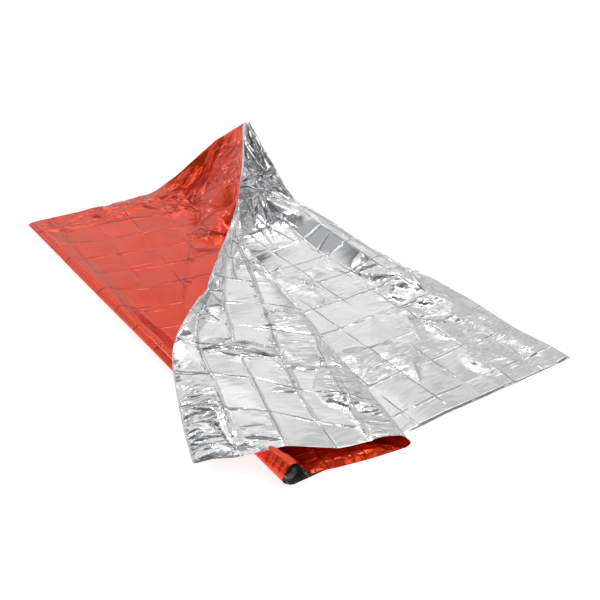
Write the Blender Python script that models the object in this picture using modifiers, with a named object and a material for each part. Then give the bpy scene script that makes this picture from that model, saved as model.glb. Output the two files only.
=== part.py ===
"""Doubled foil blanket, laid open: orange outside, silver inside.

One film sheet is doubled along its left side. The bottom layer lies on the floor, silver up. The top
layer lies on it, orange up, and its near right corner is turned back over the left side, so that its
silver side shows as a flap. The far right corners of both layers are lifted together to a peak, and
the top layer's free edge runs taut from that peak down to the turned corner.

Everything is worked out in the frame of the film's cut: X across from the doubled side, Y along it
from the near end, Z up from the floor, in metres. The finished sheet is then set on its footprint's
middle.
"""

import bpy
import numpy as np

LAYER_WIDTH = 1.165        # from the doubled side to either free edge
LENGTH = 2.10              # along the doubled side
THICKNESS = 0.0015
CREASE_PITCH = 0.1355      # lengthwise packing creases, counted from the free edges
ROWS = 50                  # steps along the length
PANEL_RISE = 0.004         # how far the panels between the packing creases stand up at their middles
COVERED_WIDTH = 0.40       # the bottom layer is flat on the floor as far as this, under the top layer
ROLL_WIDTH = 0.16          # the top layer has no panels this near the doubled side, where it is a roll
ROWS_PER_CREASE = 4        # steps from one crosswise packing crease to the next
FIRST_CREASE_ROW = 2       # steps from the near end to the first of them
NEAR_SWELL = 0.022         # how high the body stands up under the turned corner's near edge
FOOTPRINT_MIDDLE = (0.4990, 1.0190)

# The sections, by how far along the film they are cut.
SECTIONS = np.array([0.0, 0.25, 0.50, 0.80, 1.10, 1.35, 1.60, 1.72, 1.85, 2.10])

# Lines that run along the bottom layer, from its free edge to the doubled side. For each: across, how
# far the line is from the doubled side on the flat film; sharp, from 0 where the film runs over it
# smoothly to 1 where it is a crease; x, y shifts from that flat place at each section; and z there.
BOTTOM_LINES = (
    dict(name="free edge", across=1.165, sharp=0.0,
         dx=(-0.004, -0.012, -0.004, -0.010, -0.024, -0.012, -0.030, -0.047, -0.085, -0.146),
         dy=(0.0, 0.0, 0.0, 0.0, 0.0, 0.0, 0.0, -0.035, -0.128, -0.249),
         z=(0.0, 0.0, 0.0, 0.0, 0.0, 0.0, 0.010, 0.060, 0.165, 0.366)),
    dict(name="ridge", across=1.0295, sharp=1.0,
         dx=(0.0, 0.0, -0.006, -0.015, -0.018, -0.018, -0.015, -0.020, -0.040, -0.107),
         dy=(0.0, 0.0, -0.010, -0.022, -0.018, -0.012, -0.030, -0.040, -0.080, -0.187),
         z=(0.0, 0.0, 0.010, 0.032, 0.054, 0.070, 0.070, 0.075, 0.130, 0.272)),
    dict(name="ridge foot", across=0.920, sharp=0.9,
         dx=(0.0, 0.0, 0.0, 0.0, 0.006, 0.008, 0.000, -0.004, -0.024, -0.072),
         dy=(0.0, 0.0, 0.0, 0.0, 0.0, 0.0, -0.010, -0.020, -0.055, -0.137),
         z=(0.0, 0.0, 0.0, 0.0, 0.0, 0.022, 0.115, 0.085, 0.068, 0.200)),
    dict(name="rise", across=0.7585, sharp=0.5,
         dx=(0.0, 0.0, 0.0, 0.0, 0.0, 0.0, 0.0, 0.0, -0.005, -0.029),
         dy=(0.0, 0.0, 0.0, 0.0, 0.0, 0.0, 0.0, 0.0, -0.010, -0.063),
         z=(0.0, 0.0, 0.0, 0.0, 0.0, 0.002, 0.030, 0.030, 0.020, 0.076)),
    dict(name="lie", across=0.60, sharp=0.0,
         dx=(0.0,) * 10,
         dy=(0.0,) * 10,
         z=(0.0, 0.0, 0.0, 0.0, 0.0, 0.0, 0.0, 0.0, 0.0, 0.006)),
    dict(name="covered", across=0.30, sharp=0.0,
         dx=(0.0,) * 10,
         dy=(0.0,) * 10,
         z=(0.0,) * 10),
    dict(name="heel", across=0.03, sharp=0.0,
         dx=(0.0,) * 10,
         dy=(0.0,) * 10,
         z=(0.0,) * 10),
)

# Lines that run along the top layer, from the doubled side to its free edge: across is how far the line
# is from the doubled side on the film at each section, and x, y, z are its place there.
TOP_LINES = (
    dict(name="doubled side", sharp=0.0,
         across=(0.0,) * 10,
         x=(-0.008, -0.008, -0.010, -0.010, -0.008, -0.007, -0.006, -0.005, -0.005, -0.004),
         y=(0.0, 0.25, 0.50, 0.80, 1.10, 1.35, 1.60, 1.72, 1.85, 2.10),
         z=(0.028, 0.024, 0.024, 0.024, 0.018, 0.014, 0.011, 0.010, 0.009, 0.006)),
    dict(name="roll top", sharp=0.0,
         across=(0.058, 0.052, 0.050, 0.050, 0.045, 0.040, 0.035, 0.033, 0.030, 0.025),
         x=(0.022, 0.018, 0.018, 0.018, 0.020, 0.022, 0.022, 0.022, 0.022, 0.020),
         y=(0.0, 0.25, 0.50, 0.80, 1.10, 1.35, 1.60, 1.72, 1.85, 2.10),
         z=(0.066, 0.043, 0.043, 0.046, 0.040, 0.032, 0.026, 0.024, 0.020, 0.014)),
    dict(name="roll foot", sharp=0.4,
         across=(0.150, 0.145, 0.140, 0.140, 0.125, 0.115, 0.105, 0.100, 0.100, 0.095),
         x=(0.085, 0.085, 0.085, 0.085, 0.085, 0.085, 0.085, 0.085, 0.085, 0.085),
         y=(-0.003, 0.25, 0.50, 0.80, 1.10, 1.35, 1.60, 1.72, 1.85, 2.10),
         z=(0.012, 0.014, 0.016, 0.016, 0.014, 0.013, 0.012, 0.012, 0.011, 0.010)),
    dict(name="lie", sharp=0.0,
         across=(0.190, 0.185, 0.180, 0.185, 0.215, 0.290, 0.455, 0.510, 0.550, 0.585),
         x=(0.122, 0.122, 0.122, 0.128, 0.170, 0.262, 0.444, 0.506, 0.549, 0.585),
         y=(-0.010, 0.245, 0.50, 0.80, 1.10, 1.35, 1.60, 1.72, 1.85, 2.10),
         z=(0.011, 0.012, 0.013, 0.013, 0.013, 0.012, 0.012, 0.012, 0.013, 0.016)),
    dict(name="valley", sharp=0.9,
         across=(0.230, 0.225, 0.220, 0.230, 0.310, 0.440, 0.600, 0.665, 0.700, 0.720),
         x=(0.160, 0.160, 0.160, 0.170, 0.262, 0.410, 0.580, 0.660, 0.698, 0.712),
         y=(-0.020, 0.24, 0.50, 0.80, 1.10, 1.35, 1.60, 1.725, 1.87, 2.045),
         z=(0.011, 0.012, 0.013, 0.013, 0.013, 0.013, 0.015, 0.018, 0.024, 0.098)),
    dict(name="hump", sharp=0.8,
         across=(0.350, 0.370, 0.400, 0.470, 0.540, 0.620, 0.725, 0.740, 0.835, 0.955),
         x=(0.270, 0.295, 0.330, 0.400, 0.470, 0.575, 0.678, 0.707, 0.789, 0.886),
         y=(-0.048, 0.20, 0.47, 0.79, 1.10, 1.35, 1.575, 1.705, 1.857, 1.937),
         z=(0.014, 0.020, 0.024, 0.028, 0.032, 0.036, 0.078, 0.082, 0.120, 0.277)),
    dict(name="under the fold", sharp=0.0,
         across=(0.455, 0.510, 0.590, 0.670, 0.700, 0.725, 0.830, 0.870, 0.955, 0.970),
         x=(0.375, 0.430, 0.480, 0.555, 0.610, 0.660, 0.735, 0.762, 0.830, 0.895),
         y=(-0.062, 0.17, 0.45, 0.78, 1.09, 1.34, 1.54, 1.637, 1.775, 1.931),
         z=(0.008, 0.011, 0.011, 0.012, 0.012, 0.013, 0.125, 0.165, 0.195, 0.285)),
    dict(name="fold", sharp=0.0,
         across=(0.4875, 0.545, 0.623, 0.700, 0.730, 0.755, 0.870, 0.915, 0.985, 0.985),
         x=(0.398, 0.448, 0.500, 0.573, 0.632, 0.682, 0.748, 0.777, 0.842, 0.904),
         y=(-0.060, 0.165, 0.44, 0.775, 1.09, 1.34, 1.53, 1.617, 1.755, 1.925),
         z=(0.020, 0.019, 0.019, 0.020, 0.020, 0.022, 0.145, 0.190, 0.218, 0.292)),
    dict(name="over the fold", sharp=0.2,
         across=(0.520, 0.580, 0.656, 0.730, 0.760, 0.785, 0.900, 0.950, 1.010, 1.010),
         x=(0.378, 0.428, 0.480, 0.553, 0.610, 0.658, 0.752, 0.785, 0.850, 0.919),
         y=(-0.042, 0.175, 0.45, 0.785, 1.10, 1.35, 1.52, 1.603, 1.738, 1.915),
         z=(0.038, 0.030, 0.029, 0.031, 0.033, 0.037, 0.165, 0.210, 0.236, 0.304)),
    dict(name="third crease", sharp=0.6,
         across=(0.7585, 0.7585, 0.770, 0.820, 0.850, 0.890, 0.980, 1.025, 1.060, 1.060),
         x=(0.186, 0.240, 0.345, 0.455, 0.545, 0.625, 0.750, 0.800, 0.864, 0.949),
         y=(0.006, 0.285, 0.530, 0.810, 1.115, 1.345, 1.505, 1.582, 1.712, 1.894),
         z=(0.052, 0.052, 0.050, 0.052, 0.055, 0.065, 0.205, 0.245, 0.268, 0.328)),
    dict(name="second crease", sharp=0.6,
         across=(0.894, 0.894, 0.894, 0.920, 0.960, 1.000, 1.060, 1.090, 1.110, 1.110),
         x=(0.056, 0.138, 0.215, 0.325, 0.465, 0.600, 0.747, 0.806, 0.875, 0.979),
         y=(0.077, 0.345, 0.610, 0.860, 1.130, 1.320, 1.49, 1.571, 1.694, 1.874),
         z=(0.067, 0.062, 0.062, 0.060, 0.066, 0.110, 0.245, 0.270, 0.297, 0.351)),
    dict(name="first crease", sharp=0.6,
         across=(1.0295, 1.0295, 1.0295, 1.050, 1.075, 1.090, 1.115, 1.130, 1.140, 1.140),
         x=(-0.058, 0.017, 0.095, 0.235, 0.420, 0.592, 0.746, 0.808, 0.881, 0.996),
         y=(0.138, 0.398, 0.660, 0.905, 1.125, 1.295, 1.478, 1.566, 1.683, 1.861),
         z=(0.044, 0.058, 0.064, 0.080, 0.105, 0.170, 0.268, 0.290, 0.315, 0.365)),
    dict(name="free edge", sharp=0.0,
         across=(1.165,) * 10,
         x=(-0.163, -0.085, 0.008, 0.203, 0.428, 0.596, 0.745, 0.810, 0.884, 1.011),
         y=(0.225, 0.455, 0.684, 0.896, 1.093, 1.270, 1.465, 1.560, 1.677, 1.851),
         z=(0.003, 0.024, 0.066, 0.108, 0.168, 0.226, 0.283, 0.306, 0.330, 0.377)),
)

# Steps of the mesh between each pair of lines, from one line to the next.
BOTTOM_STEPS = (2, 2, 2, 2, 4, 3)
DOUBLED_SIDE_STEPS = 3
TOP_STEPS = (3, 3, 2, 2, 3, 3, 1, 1, 3, 2, 2, 2)


def smooth_through(knots, values, at, sharp=0.0):
    """A curve through values at the knots that never swings past them: cubic between each two
    knots, with a slope at each that is the harmonic mean of its neighbours', or level at a turn.
    Where sharp is above 0 the slopes on either side of a knot part, and at 1 each is its own rise."""
    knots = np.asarray(knots, float)
    values = np.asarray(values, float)
    gaps = np.diff(knots)
    rises = np.diff(values) / gaps
    before = np.append(rises[:1], rises)
    after = np.append(rises, rises[-1:])
    same_way = before * after > 0
    safe = np.where(same_way, before + after, 1.0)
    shared = np.where(same_way, 2 * before * after / safe, 0.0)
    arriving = shared + (before - shared) * sharp
    leaving = shared + (after - shared) * sharp
    k = np.clip(np.searchsorted(knots, at, side="right") - 1, 0, len(gaps) - 1)
    u = (at - knots[k]) / gaps[k]
    start = values[k] * (1 + 2 * u) + leaving[k] * gaps[k] * u
    end = values[k + 1] * (3 - 2 * u) - arriving[k + 1] * gaps[k] * (1 - u)
    return start * (1 - u) ** 2 + end * u ** 2


def bottom_line(line, along):
    """Across, x, y and z of one of the bottom layer's lines, at each distance along the film. Across
    is negative on this layer, as it is counted from the doubled side."""
    flat = line["across"]
    x = flat + smooth_through(SECTIONS, line["dx"], along)
    y = along + smooth_through(SECTIONS, line["dy"], along)
    z = smooth_through(SECTIONS, line["z"], along)
    return np.stack([np.full_like(along, -flat), x, y, z])


def top_line(line, along):
    """Across, x, y and z of one of the top layer's lines, at each distance along the film."""
    return np.stack([smooth_through(SECTIONS, line[c], along) for c in ("across", "x", "y", "z")])


def panel_rise(across, row):
    """How far the film stands up between its packing creases: a half wave from each crease to the
    next, both ways, which fades out towards the part of each layer that has no panels."""
    lengthwise = np.abs(np.sin(np.pi * (LAYER_WIDTH - np.abs(across)) / CREASE_PITCH))
    crosswise = abs(np.sin(np.pi * (row - FIRST_CREASE_ROW) / ROWS_PER_CREASE))
    plain_width = np.where(across < 0, COVERED_WIDTH, ROLL_WIDTH)
    fade = np.clip((np.abs(across) - plain_width) / CREASE_PITCH, 0, 1)
    return PANEL_RISE * lengthwise * crosswise * fade


def soft_step(low, high, at):
    """0 below low, 1 above high, and a smooth S between."""
    u = np.clip((at - low) / (high - low), 0, 1)
    return u * u * (3 - 2 * u)


def near_swell(across, along):
    """How far the top layer's body stands up just behind its near end, under the turned corner's
    edge: between the roll and the fold, and not past the first quarter of the length."""
    beside_roll = soft_step(0.15, 0.23, across)
    beside_fold = 1 - soft_step(0.33, 0.43, across)
    near = soft_step(0.0, 0.09, along) * (1 - soft_step(0.16, 0.42, along))
    return NEAR_SWELL * beside_roll * beside_fold * near


def sheet_grid():
    """Points of the film's orange side, a row for each step along it and a column for each step
    across it, from the bottom layer's free edge round the doubled side to the top layer's."""
    along = np.linspace(0, LENGTH, ROWS + 1)
    lines = [bottom_line(line, along) for line in BOTTOM_LINES]
    lines += [top_line(line, along) for line in TOP_LINES]
    lines = np.array(lines)
    sharp = np.array([line["sharp"] for line in BOTTOM_LINES + TOP_LINES])
    steps = BOTTOM_STEPS + (DOUBLED_SIDE_STEPS,) + TOP_STEPS
    points = np.empty((ROWS + 1, sum(steps) + 1, 3))
    for row in range(ROWS + 1):
        knots = lines[:, 0, row]
        stops = [np.linspace(a, b, n, endpoint=False) for a, b, n in zip(knots, knots[1:], steps)]
        across = np.append(np.concatenate(stops), knots[-1])
        for axis in range(3):
            points[row, :, axis] = smooth_through(knots, lines[:, axis + 1, row], across, sharp)
        points[row, :, 2] += panel_rise(across, row) + near_swell(across, along[row])
    return points


def film_material(name, colour, roughness):
    """Bright metallised film of one colour."""
    material = bpy.data.materials.new(name)
    material.use_nodes = True
    shader = material.node_tree.nodes["Principled BSDF"]
    shader.inputs["Base Color"].default_value = (*colour, 1.0)
    shader.inputs["Metallic"].default_value = 1.0
    shader.inputs["Roughness"].default_value = roughness
    return material


def loft(name, points):
    """A mesh with a quad between each four neighbouring points of the grid."""
    rows, columns = points.shape[:2]
    corner = np.arange(rows * columns).reshape(rows, columns)
    quads = np.stack([corner[:-1, :-1], corner[:-1, 1:], corner[1:, 1:], corner[1:, :-1]], axis=-1)
    mesh = bpy.data.meshes.new(name)
    mesh.from_pydata(points.reshape(-1, 3).tolist(), [], quads.reshape(-1, 4).tolist())
    mesh.update()
    return mesh


def foil_sheet(collection):
    """The one-piece film: its orange side lofted, and its thickness grown to the silver side."""
    points = sheet_grid()
    points[..., 0] -= FOOTPRINT_MIDDLE[0]
    points[..., 1] -= FOOTPRINT_MIDDLE[1]
    sheet = bpy.data.objects.new("foil_sheet", loft("foil_sheet", points))
    sheet.data.materials.append(film_material("orange_film", (0.62, 0.10, 0.055), 0.25))
    sheet.data.materials.append(film_material("silver_film", (0.80, 0.81, 0.82), 0.18))
    collection.objects.link(sheet)
    skin = sheet.modifiers.new("film thickness", "SOLIDIFY")
    skin.thickness = THICKNESS
    skin.offset = -1.0
    skin.use_even_offset = False
    skin.material_offset = 1
    return sheet


def main():
    for thing in list(bpy.data.objects):
        bpy.data.objects.remove(thing)
    collection = bpy.data.collections.new("foil_blanket")
    bpy.context.scene.collection.children.link(collection)
    foil_sheet(collection)


main()
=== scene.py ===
"""Looks of the doubled foil blanket, laid open: orange outside, silver inside.

The film is one sheet, worked out in the frame of its cut: across counts from the doubled side
(below zero on the bottom layer), along from the near end, and Z goes up from the floor, in
metres. Its main folds come from lines that run along it, each given at a few sections. On them
stand the panels between its packing creases, its listed creases and its crumples. Two skins
carry it, the orange outer face and the silver inner one, which meet at every edge.
"""

import math

import bpy
import numpy as np
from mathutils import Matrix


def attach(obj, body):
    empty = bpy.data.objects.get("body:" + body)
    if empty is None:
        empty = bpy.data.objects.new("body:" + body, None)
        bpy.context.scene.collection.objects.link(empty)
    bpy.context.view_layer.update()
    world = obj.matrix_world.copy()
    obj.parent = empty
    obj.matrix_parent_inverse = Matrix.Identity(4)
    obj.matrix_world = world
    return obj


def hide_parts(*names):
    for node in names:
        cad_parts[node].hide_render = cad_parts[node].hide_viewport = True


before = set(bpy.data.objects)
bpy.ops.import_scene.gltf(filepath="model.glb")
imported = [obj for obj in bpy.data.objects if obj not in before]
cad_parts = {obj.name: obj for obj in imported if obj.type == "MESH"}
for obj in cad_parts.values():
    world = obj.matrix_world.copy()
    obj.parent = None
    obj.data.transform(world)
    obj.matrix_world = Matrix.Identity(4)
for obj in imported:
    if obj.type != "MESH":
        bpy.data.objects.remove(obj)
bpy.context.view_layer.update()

LAYER_WIDTH = 1.165        # from the doubled side to either free edge
LENGTH = 2.10              # along the doubled side
CREASE_PITCH = 0.1355      # between lengthwise packing creases, counted from the free edges
CROSS_PITCH = 0.168        # between crosswise packing creases
HEEL = 0.03                # bottom layer's last strip before the doubled side turns up
SKIN_GAP = 0.0009          # between the two faces of the film
SKINS_MEET = 0.008         # how far from the film's edges that gap closes
FOOTPRINT_MIDDLE = np.array([0.4990, 1.0190, 0.0])   # which the frame has at its origin

# The sections, by how far along the film they are cut.
SECTIONS = np.array([0.0, 0.25, 0.50, 0.80, 1.10, 1.35, 1.60, 1.72, 1.85, 2.10])


def everywhere(value):
    """The same value at every section."""
    return (value,) * len(SECTIONS)


# Lines that run along the bottom layer, from its free edge to the doubled side. For each: across,
# how far the line is from the doubled side on the flat film; sharp, from 0 where the film runs
# over it smoothly to 1 where it is a crease; dx and dy, its shifts from that flat place at each
# section; and its z there.
BOTTOM_LINES = (
    dict(name="free edge", across=1.165, sharp=0.0,
         dx=(-0.004, -0.012, -0.004, -0.010, -0.024, -0.012, -0.030, -0.047, -0.085, -0.146),
         dy=(0.0, 0.0, 0.0, 0.0, 0.0, 0.0, 0.0, -0.035, -0.128, -0.249),
         z=(0.0, 0.0, 0.0, 0.0, 0.0, 0.0, 0.010, 0.060, 0.165, 0.366)),
    dict(name="ridge", across=1.0295, sharp=1.0,
         dx=(0.0, 0.0, -0.006, -0.015, -0.018, -0.018, -0.015, -0.020, -0.040, -0.107),
         dy=(0.0, 0.0, -0.010, -0.022, -0.018, -0.012, -0.030, -0.040, -0.080, -0.187),
         z=(0.0, 0.0, 0.010, 0.032, 0.054, 0.070, 0.070, 0.075, 0.130, 0.272)),
    dict(name="ridge foot", across=0.920, sharp=0.9,
         dx=(0.0, 0.0, 0.0, 0.0, 0.006, 0.008, 0.000, -0.004, -0.024, -0.072),
         dy=(0.0, 0.0, 0.0, 0.0, 0.0, 0.0, -0.010, -0.020, -0.055, -0.137),
         z=(0.0, 0.0, 0.0, 0.0, 0.0, 0.022, 0.115, 0.085, 0.068, 0.200)),
    dict(name="rise", across=0.7585, sharp=0.5,
         dx=(0.0, 0.0, 0.0, 0.0, 0.0, 0.0, 0.0, 0.0, -0.005, -0.029),
         dy=(0.0, 0.0, 0.0, 0.0, 0.0, 0.0, 0.0, 0.0, -0.010, -0.063),
         z=(0.0, 0.0, 0.0, 0.0, 0.0, 0.002, 0.030, 0.030, 0.020, 0.076)),
    dict(name="lie", across=0.60, sharp=0.0,
         dx=everywhere(0.0),
         dy=everywhere(0.0),
         z=(0.0, 0.0, 0.0, 0.0, 0.0, 0.0, 0.0, 0.0, 0.0, 0.006)),
    dict(name="covered", across=0.30, sharp=0.0,
         dx=everywhere(0.0),
         dy=everywhere(0.0),
         z=everywhere(0.0)),
    dict(name="heel", across=HEEL, sharp=0.0,
         dx=everywhere(0.0),
         dy=everywhere(0.0),
         z=everywhere(0.0)),
)

# Lines that run along the top layer, from the doubled side to its free edge: across is how far
# the line is from the doubled side on the film at each section, and x, y, z are its place there.
TOP_LINES = (
    dict(name="doubled side", sharp=0.0,
         across=everywhere(0.0),
         x=(-0.008, -0.008, -0.010, -0.010, -0.008, -0.007, -0.006, -0.005, -0.005, -0.004),
         y=SECTIONS,
         z=(0.028, 0.024, 0.024, 0.024, 0.018, 0.014, 0.011, 0.010, 0.009, 0.006)),
    dict(name="roll top", sharp=0.0,
         across=(0.058, 0.052, 0.050, 0.050, 0.045, 0.040, 0.035, 0.033, 0.030, 0.025),
         x=(0.022, 0.018, 0.018, 0.018, 0.020, 0.022, 0.022, 0.022, 0.022, 0.020),
         y=SECTIONS,
         z=(0.066, 0.043, 0.043, 0.046, 0.040, 0.032, 0.026, 0.024, 0.020, 0.014)),
    dict(name="roll foot", sharp=0.4,
         across=(0.150, 0.145, 0.140, 0.140, 0.125, 0.115, 0.105, 0.100, 0.100, 0.095),
         x=(0.085, 0.085, 0.085, 0.085, 0.085, 0.085, 0.085, 0.085, 0.085, 0.085),
         y=(-0.003, 0.25, 0.50, 0.80, 1.10, 1.35, 1.60, 1.72, 1.85, 2.10),
         z=(0.012, 0.014, 0.016, 0.016, 0.014, 0.013, 0.012, 0.012, 0.011, 0.010)),
    dict(name="lie", sharp=0.0,
         across=(0.190, 0.185, 0.180, 0.185, 0.215, 0.290, 0.455, 0.510, 0.550, 0.585),
         x=(0.122, 0.122, 0.122, 0.128, 0.170, 0.262, 0.444, 0.506, 0.549, 0.585),
         y=(-0.010, 0.245, 0.50, 0.80, 1.10, 1.35, 1.60, 1.72, 1.85, 2.10),
         z=(0.011, 0.012, 0.013, 0.013, 0.013, 0.012, 0.012, 0.012, 0.013, 0.016)),
    dict(name="valley", sharp=0.9,
         across=(0.230, 0.225, 0.220, 0.230, 0.310, 0.440, 0.600, 0.665, 0.700, 0.720),
         x=(0.160, 0.160, 0.160, 0.170, 0.262, 0.410, 0.580, 0.660, 0.698, 0.712),
         y=(-0.020, 0.24, 0.50, 0.80, 1.10, 1.35, 1.60, 1.725, 1.87, 2.045),
         z=(0.011, 0.012, 0.013, 0.013, 0.013, 0.013, 0.015, 0.018, 0.024, 0.098)),
    dict(name="hump", sharp=0.8,
         across=(0.350, 0.370, 0.400, 0.470, 0.540, 0.620, 0.725, 0.740, 0.835, 0.955),
         x=(0.270, 0.295, 0.330, 0.400, 0.470, 0.575, 0.678, 0.707, 0.789, 0.886),
         y=(-0.048, 0.20, 0.47, 0.79, 1.10, 1.35, 1.575, 1.705, 1.857, 1.937),
         z=(0.014, 0.020, 0.024, 0.028, 0.032, 0.036, 0.078, 0.082, 0.120, 0.277)),
    dict(name="under the fold", sharp=0.0,
         across=(0.455, 0.510, 0.590, 0.670, 0.700, 0.725, 0.830, 0.870, 0.955, 0.970),
         x=(0.375, 0.430, 0.480, 0.555, 0.610, 0.660, 0.735, 0.762, 0.830, 0.895),
         y=(-0.062, 0.17, 0.45, 0.78, 1.09, 1.34, 1.54, 1.637, 1.775, 1.931),
         z=(0.008, 0.011, 0.011, 0.012, 0.012, 0.013, 0.125, 0.165, 0.195, 0.285)),
    dict(name="fold", sharp=0.0,
         across=(0.4875, 0.545, 0.623, 0.700, 0.730, 0.755, 0.870, 0.915, 0.985, 0.985),
         x=(0.398, 0.448, 0.500, 0.573, 0.632, 0.682, 0.748, 0.777, 0.842, 0.904),
         y=(-0.060, 0.165, 0.44, 0.775, 1.09, 1.34, 1.53, 1.617, 1.755, 1.925),
         z=(0.020, 0.019, 0.019, 0.020, 0.020, 0.022, 0.145, 0.190, 0.218, 0.292)),
    dict(name="over the fold", sharp=0.2,
         across=(0.520, 0.580, 0.656, 0.730, 0.760, 0.785, 0.900, 0.950, 1.010, 1.010),
         x=(0.378, 0.428, 0.480, 0.553, 0.610, 0.658, 0.752, 0.785, 0.850, 0.919),
         y=(-0.042, 0.175, 0.45, 0.785, 1.10, 1.35, 1.52, 1.603, 1.738, 1.915),
         z=(0.038, 0.030, 0.029, 0.031, 0.033, 0.037, 0.165, 0.210, 0.236, 0.304)),
    dict(name="third crease", sharp=0.6,
         across=(0.7585, 0.7585, 0.770, 0.820, 0.850, 0.890, 0.980, 1.025, 1.060, 1.060),
         x=(0.186, 0.240, 0.345, 0.455, 0.545, 0.625, 0.750, 0.800, 0.864, 0.949),
         y=(0.006, 0.285, 0.530, 0.810, 1.115, 1.345, 1.505, 1.582, 1.712, 1.894),
         z=(0.052, 0.052, 0.050, 0.052, 0.055, 0.065, 0.205, 0.245, 0.268, 0.328)),
    dict(name="second crease", sharp=0.6,
         across=(0.894, 0.894, 0.894, 0.920, 0.960, 1.000, 1.060, 1.090, 1.110, 1.110),
         x=(0.056, 0.138, 0.215, 0.325, 0.465, 0.600, 0.747, 0.806, 0.875, 0.979),
         y=(0.077, 0.345, 0.610, 0.860, 1.130, 1.320, 1.49, 1.571, 1.694, 1.874),
         z=(0.067, 0.062, 0.062, 0.060, 0.066, 0.110, 0.245, 0.270, 0.297, 0.351)),
    dict(name="first crease", sharp=0.6,
         across=(1.0295, 1.0295, 1.0295, 1.050, 1.075, 1.090, 1.115, 1.130, 1.140, 1.140),
         x=(-0.058, 0.017, 0.095, 0.235, 0.420, 0.592, 0.746, 0.808, 0.881, 0.996),
         y=(0.138, 0.398, 0.660, 0.905, 1.125, 1.295, 1.478, 1.566, 1.683, 1.861),
         z=(0.044, 0.058, 0.064, 0.080, 0.105, 0.170, 0.268, 0.290, 0.315, 0.365)),
    dict(name="free edge", sharp=0.0,
         across=everywhere(LAYER_WIDTH),
         x=(-0.163, -0.085, 0.008, 0.203, 0.428, 0.596, 0.745, 0.810, 0.884, 1.011),
         y=(0.225, 0.455, 0.684, 0.896, 1.093, 1.270, 1.465, 1.560, 1.677, 1.851),
         z=(0.003, 0.024, 0.066, 0.108, 0.168, 0.226, 0.283, 0.306, 0.330, 0.377)),
)

# The grid that carries the film: fine steps where it shows, wide ones where a layer covers it.
FINE_STEPS = 21            # across each panel
ROWS_PER_PANEL = 24        # along each panel
OPEN_PANELS = 6            # bottom layer's panels that show, from its free edge
COVERED_STEPS = 14         # across the rest of it, up to the heel
HEEL_STEPS = 3
TURN_STEPS = 12            # across the top layer's narrow strip along the doubled side
TOP_PANELS = 8             # top layer's whole panels, from its free edge


def smooth_through(knots, values, at, sharp=0.0):
    """Curves through values at the knots that never swing past them, worked out along the last
    axis: cubic between each two knots, with a slope at each that is the harmonic mean of its
    neighbours', or level at a turn. Where sharp is above 0 the slopes on either side of a knot
    part, and at 1 each is its own rise."""
    knots, values = np.broadcast_arrays(knots, values)
    gaps = np.diff(knots)
    rises = np.diff(values) / gaps
    before = np.concatenate([rises[..., :1], rises], axis=-1)
    after = np.concatenate([rises, rises[..., -1:]], axis=-1)
    same_way = before * after > 0
    both = np.where(same_way, before + after, 1.0)
    shared = np.where(same_way, 2 * before * after / both, 0.0)
    arriving = shared + (before - shared) * sharp
    leaving = shared + (after - shared) * sharp
    k = (at[..., :, None] >= knots[..., None, 1:-1]).sum(axis=-1)

    def pick(numbers, index):
        return np.take_along_axis(numbers, index, axis=-1)

    gap = pick(gaps, k)
    u = (at - pick(knots, k)) / gap
    start = pick(values, k) * (1 + 2 * u) + pick(leaving, k) * gap * u
    end = pick(values, k + 1) * (3 - 2 * u) - pick(arriving, k + 1) * gap * (1 - u)
    return start * (1 - u) ** 2 + end * u ** 2


def soft_step(low, high, at):
    """0 below low, 1 above high, and a smooth S between."""
    u = np.clip((at - low) / (high - low), 0, 1)
    return u * u * (3 - 2 * u)


def soft_band(start, end, at):
    """1 on a band and 0 off it: an S up over start's two numbers, and one down over end's."""
    return soft_step(*start, at) * (1 - soft_step(*end, at))


def film_columns():
    """Distances across the film of the grid's columns, from the bottom layer's free edge to the
    top layer's, with a column on each packing crease."""
    shown = OPEN_PANELS * CREASE_PITCH
    turn = LAYER_WIDTH - TOP_PANELS * CREASE_PITCH
    return np.concatenate([
        np.linspace(-LAYER_WIDTH, shown - LAYER_WIDTH, OPEN_PANELS * FINE_STEPS, endpoint=False),
        np.linspace(shown - LAYER_WIDTH, -HEEL, COVERED_STEPS, endpoint=False),
        np.linspace(-HEEL, 0, HEEL_STEPS, endpoint=False),
        np.linspace(0, turn, TURN_STEPS, endpoint=False),
        np.linspace(turn, LAYER_WIDTH, TOP_PANELS * FINE_STEPS + 1),
    ])


def film_rows():
    """Distances along the film of the grid's rows."""
    return np.linspace(0, LENGTH, round(LENGTH / CROSS_PITCH * ROWS_PER_PANEL) + 1)


def table(lines, key):
    """One named column of a table of lines, a row for each line."""
    return np.array([line[key] for line in lines], float)


def line_places(along):
    """Across, x, y and z of every line at each distance along the film: the smooth curves through
    their values at the sections. Shape: distance along, line, then the four numbers."""
    at = along[None, :]
    flat = table(BOTTOM_LINES, "across")[:, None] + 0 * at
    bottom = np.stack([
        -flat,
        flat + smooth_through(SECTIONS, table(BOTTOM_LINES, "dx"), at),
        at + smooth_through(SECTIONS, table(BOTTOM_LINES, "dy"), at),
        smooth_through(SECTIONS, table(BOTTOM_LINES, "z"), at),
    ])
    top = np.stack([smooth_through(SECTIONS, table(TOP_LINES, key), at)
                    for key in ("across", "x", "y", "z")])
    return np.concatenate([bottom, top], axis=1).transpose(2, 1, 0)


def main_shape(across, along):
    """Points of the film's main folds on the grid: at each row, the smooth curve across through
    the lines' places there."""
    lines = line_places(along)
    sharp = table(BOTTOM_LINES + TOP_LINES, "sharp")
    at = across[None, :]
    return np.stack([smooth_through(lines[..., 0], lines[..., axis], at, sharp)
                     for axis in (1, 2, 3)], axis=-1)


def fold_places(along):
    """How far across the film it folds back at each row, as one column."""
    fold = [line for line in TOP_LINES if line["name"] == "fold"]
    return smooth_through(SECTIONS, table(fold, "across"), along[None, :]).T


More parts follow.
